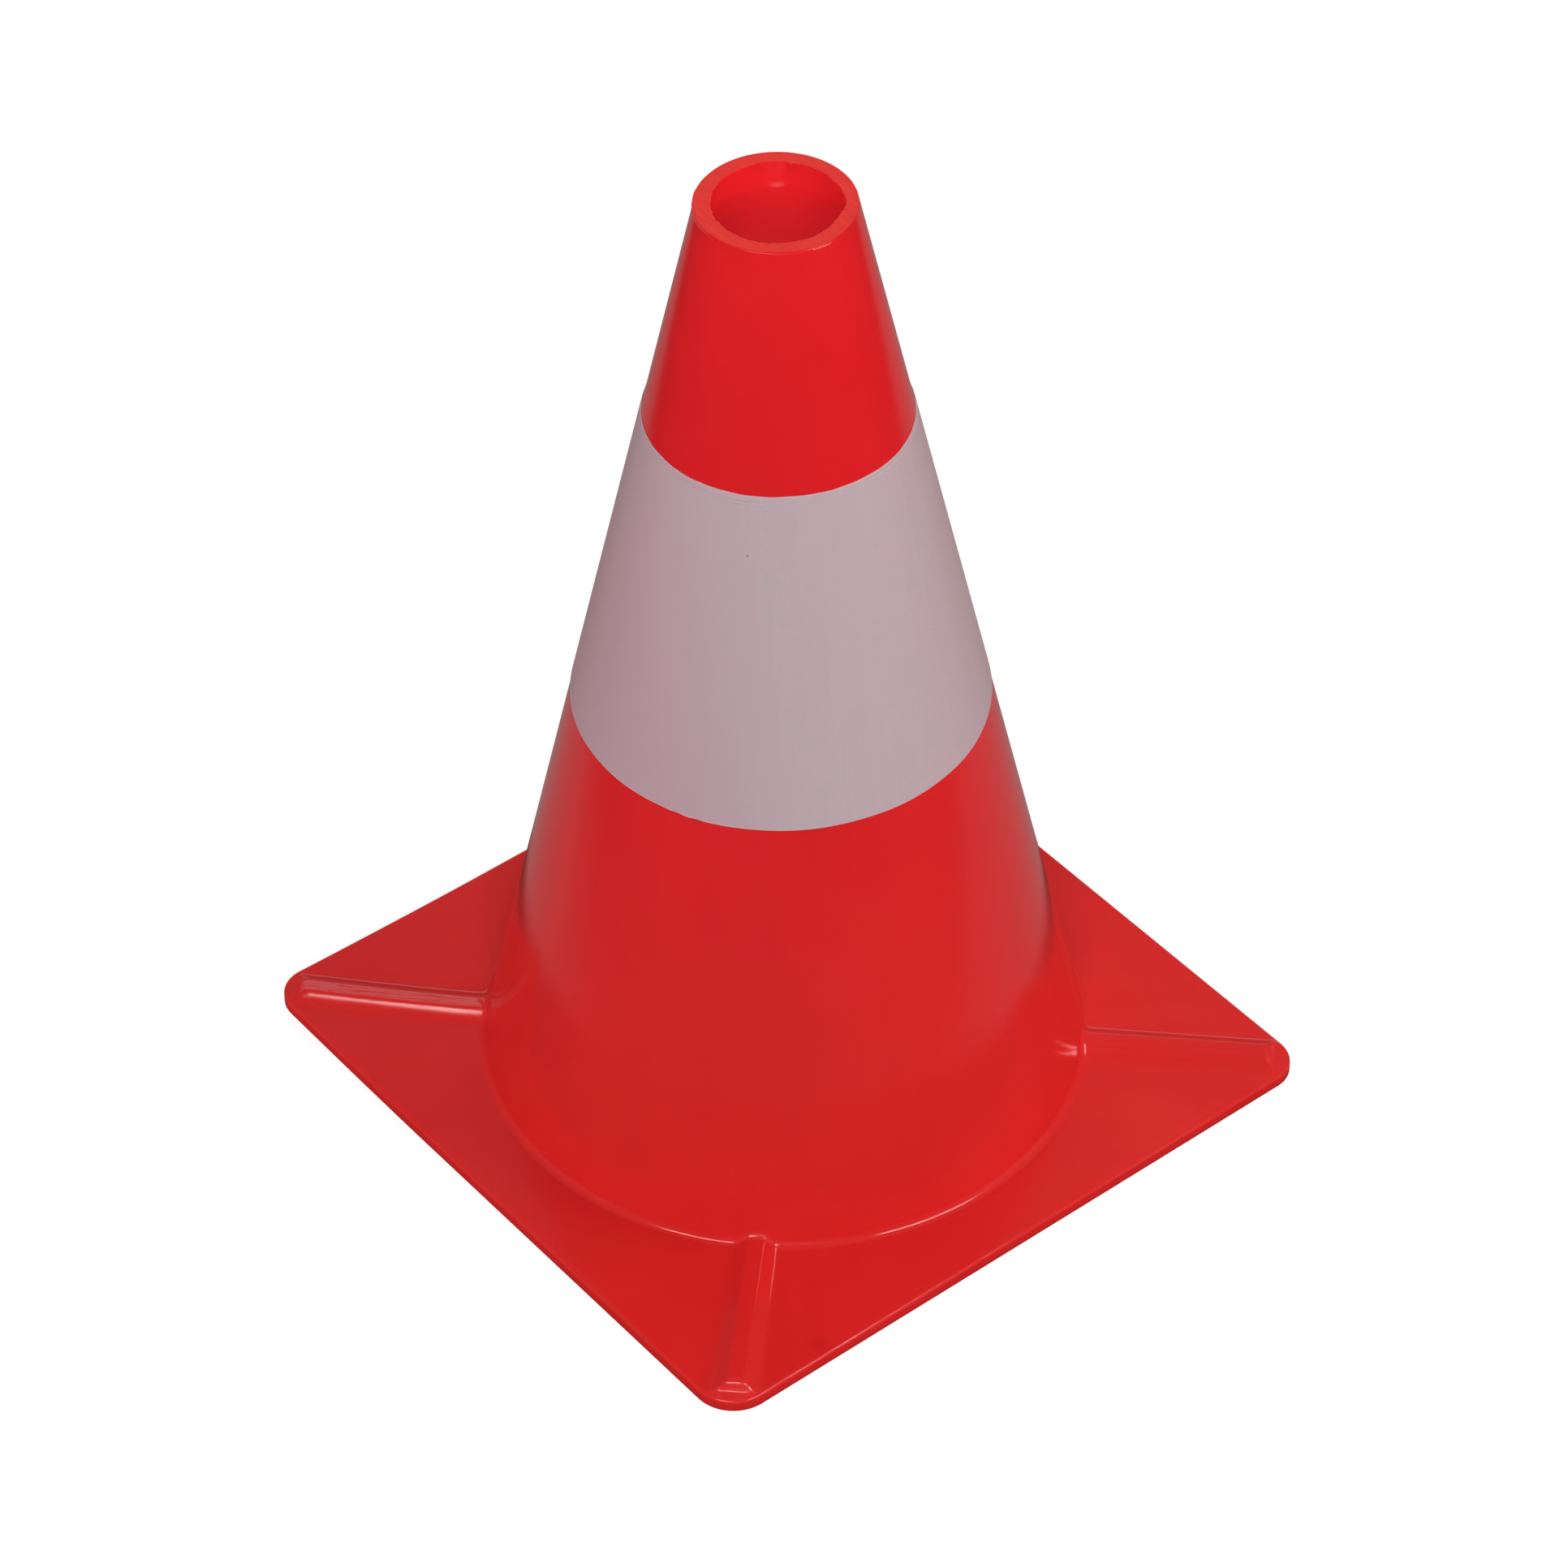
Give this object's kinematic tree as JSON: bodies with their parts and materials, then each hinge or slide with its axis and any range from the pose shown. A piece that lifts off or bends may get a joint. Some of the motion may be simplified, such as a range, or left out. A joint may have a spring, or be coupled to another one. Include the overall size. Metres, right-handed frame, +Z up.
{
  "type": "traffic cone",
  "caption": "Hollow tapered warning cone on a square ribbed base plate, with a wide retroreflective band round its wall and an open top.",
  "frame": {"origin": "on the floor, at the centre of the square base plate", "axes": "+Z up along the cone's axis; X and Y along the sides of the base plate, with the ribs on its diagonals and the band's seam towards +X +Y"},
  "size_m": [0.21, 0.21, 0.3],
  "materials": {
    "cone_pvc": "glossy soft PVC, moulded in colour",
    "band_sheeting": "satin retroreflective sheeting with fine glass beads"
  },
  "bodies": {
    "root": {"cone_body": "cone_pvc", "reflective_band": "band_sheeting"}
  },
  "joints": []
}
